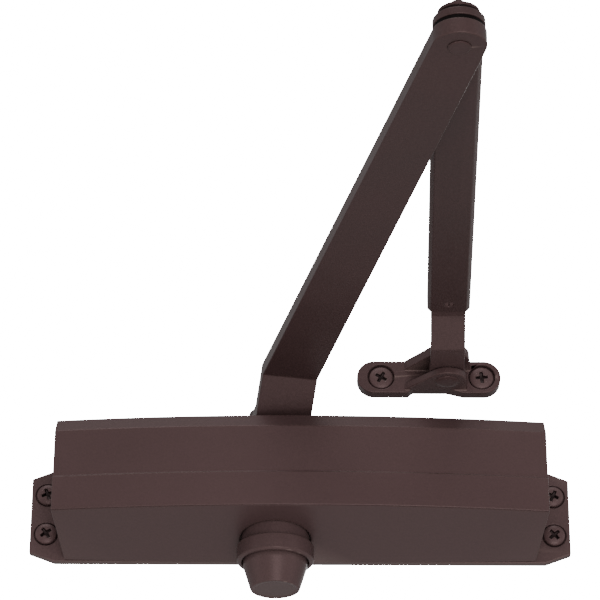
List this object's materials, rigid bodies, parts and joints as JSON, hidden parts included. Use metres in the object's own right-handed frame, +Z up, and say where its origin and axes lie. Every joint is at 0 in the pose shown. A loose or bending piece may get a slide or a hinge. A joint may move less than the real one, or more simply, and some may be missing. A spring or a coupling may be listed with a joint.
{
  "type": "door closer",
  "caption": "Surface-mounted hydraulic door closer with a bowed slim cover, a capped spindle end, a cranked main arm, an adjustable forearm and a frame shoe.",
  "frame": {"origin": "centre of the four door screws, on the back face that lies on the door", "axes": "+X along the body to the spring end, +Y into the door, +Z up"},
  "size_m": [0.2448, 0.3484, 0.1101],
  "materials": {
    "cover_paint": "dark bronze, moulded with a fine satin grain",
    "body_paint": "dark bronze paint on iron",
    "arm_paint": "dark bronze paint on steel",
    "cap_paint": "dark bronze, smooth",
    "screw_paint": "dark bronze paint",
    "black_plastic": "black",
    "spring_steel": "drawn spring steel",
    "ground_steel": "ground and oiled",
    "plated_steel": "zinc plated",
    "valve_brass": "turned",
    "seal_rubber": "nitrile rubber"
  },
  "bodies": {
    "body": {"body_casting": "body_paint", "cover_shell": "cover_paint", "cover_clips": "spring_steel", "upper_bearing": "ground_steel", "lower_bearing": "ground_steel", "upper_shaft_seal": "seal_rubber", "lower_shaft_seal": "seal_rubber", "upper_gland_nut": "ground_steel", "lower_gland_nut": "ground_steel", "valve_end_plug": "ground_steel", "spring_end_plug": "ground_steel", "end_plug_seals": "seal_rubber", "valve_o_rings": "seal_rubber", "pinion_cap_collar": "cap_paint", "pinion_cap": "cap_paint", "mounting_screws": "screw_paint", "closing_spring_outer": "spring_steel", "closing_spring_inner": "spring_steel"},
    "spindle": {"pinion_shaft": "ground_steel", "main_arm": "arm_paint", "arm_screw": "plated_steel", "arm_screw_washer": "plated_steel", "elbow_stud": "arm_paint", "elbow_thrust_washer": "black_plastic", "elbow_spring_washer": "spring_steel", "elbow_nut": "arm_paint"},
    "piston_body": {"piston": "ground_steel", "piston_seal": "seal_rubber", "check_ball_retainer": "ground_steel"},
    "ball_body": {"check_ball": "ground_steel"},
    "forearm": {"forearm_head": "arm_paint", "forearm_tube": "arm_paint", "forearm_rivet": "arm_paint"},
    "lock_screw_body": {"forearm_lock_screw": "screw_paint"},
    "rod_body": {"forearm_rod": "arm_paint", "shoe_pivot_bush": "valve_brass"},
    "shoe_body": {"shoe": "arm_paint", "shoe_pivot_pin": "arm_paint", "shoe_screws": "screw_paint"},
    "seat_body": {"spring_seat": "ground_steel"},
    "power_screw_body": {"power_adjust_screw": "plated_steel"},
    "sweep_valve_body": {"sweep_valve_screw": "valve_brass"},
    "latch_valve_body": {"latch_valve_screw": "valve_brass"},
    "backcheck_valve_body": {"backcheck_valve_screw": "valve_brass"}
  },
  "joints": [
    {"name": "pinion_turn", "type": "hinge", "parent": "body", "child": "spindle", "pos_m": [-0.011, -0.0235, 0.033], "axis": [0, 0, 1], "range_deg": [0, 170], "stiffness_Nm_per_rad": 2, "springref_deg": -85.94},
    {"name": "piston_slide", "type": "slide", "parent": "body", "child": "piston_body", "axis": [1, 0, 0], "range_m": [0, 0.026], "deforming": ["closing_spring_outer", "closing_spring_inner"]},
    {"name": "check_ball_lift", "type": "slide", "parent": "piston_body", "child": "ball_body", "axis": [-1, 0, 0], "range_m": [0, 0.0016]},
    {"name": "elbow_turn", "type": "hinge", "parent": "spindle", "child": "forearm", "pos_m": [0.0568, -0.32436, 0.056], "axis": [0, 0, -1], "range_deg": [-2, 160]},
    {"name": "rod_slide", "type": "slide", "parent": "forearm", "child": "rod_body", "axis": [0.0319, 0.9995, 0], "range_m": [-0.005, 0.025]},
    {"name": "lock_screw_turn", "type": "hinge", "parent": "forearm", "child": "lock_screw_body", "pos_m": [0.06376, -0.10647, 0.055], "axis": [0, 0, -1], "range_deg": [0, 360]},
    {"name": "shoe_turn", "type": "hinge", "parent": "rod_body", "child": "shoe_body", "pos_m": [0.0655, -0.05199, 0.051], "axis": [0, 0, 1], "range_deg": [-75, 75]},
    {"name": "power_screw_turn", "type": "hinge", "parent": "body", "child": "power_screw_body", "pos_m": [0.1, -0.0235, 0.003], "axis": [1, 0, 0], "range_deg": [0, 1440]},
    {"name": "spring_seat_slide", "type": "slide", "parent": "body", "child": "seat_body", "axis": [-1, 0, 0], "range_m": [0, 0.005]},
    {"name": "sweep_valve_turn", "type": "hinge", "parent": "body", "child": "sweep_valve_body", "pos_m": [-0.09, -0.038, 0.01819], "axis": [-1, 0, 0], "range_deg": [0, 450]},
    {"name": "latch_valve_turn", "type": "hinge", "parent": "body", "child": "latch_valve_body", "pos_m": [-0.09, -0.00901, 0.01819], "axis": [-1, 0, 0], "range_deg": [0, 450]},
    {"name": "backcheck_valve_turn", "type": "hinge", "parent": "body", "child": "backcheck_valve_body", "pos_m": [-0.09, -0.00901, -0.01219], "axis": [-1, 0, 0], "range_deg": [0, 450]}
  ],
  "couplings": [
    {"joint": "piston_slide", "follows": "pinion_turn", "m_per_rad": 0.00875},
    {"joint": "power_screw_turn", "follows": "spring_seat_slide", "rad_per_m": 5026.5}
  ]
}
